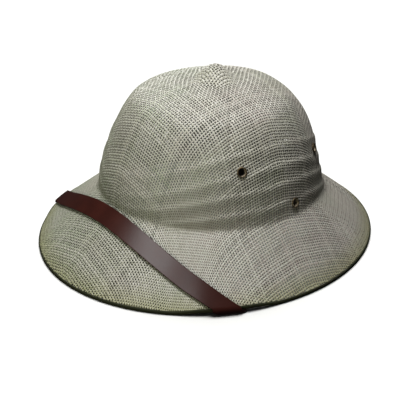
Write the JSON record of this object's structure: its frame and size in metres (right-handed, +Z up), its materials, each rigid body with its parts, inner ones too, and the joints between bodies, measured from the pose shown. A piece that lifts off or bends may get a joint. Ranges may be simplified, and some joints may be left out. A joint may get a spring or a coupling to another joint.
{
  "type": "straw jungle hat, a woven pith helmet",
  "caption": "Woven straw sun helmet with a ridged oval crown, small top knob, wide sloping brim, dark edge binding, leather chin strap and metal vent eyelets.",
  "frame": {"origin": "on the floor under the middle of the brim", "axes": "+Z up, -Y to the hat's front, +X to the wearer's left"},
  "size_m": [0.2996, 0.324, 0.1615],
  "materials": {
    "straw": "woven natural straw, matt, pale khaki",
    "binding": "dark olive woven tape",
    "leather": "smooth dark red-brown leather, satin",
    "brass": "aged dark brass"
  },
  "bodies": {
    "root": {"straw_shell": "straw", "brim_binding": "binding", "chin_strap": "leather", "eyelet_left_front": "brass", "eyelet_left_low": "brass", "eyelet_left_rear": "brass", "eyelet_right_front": "brass", "eyelet_right_low": "brass", "eyelet_right_rear": "brass"}
  },
  "joints": []
}
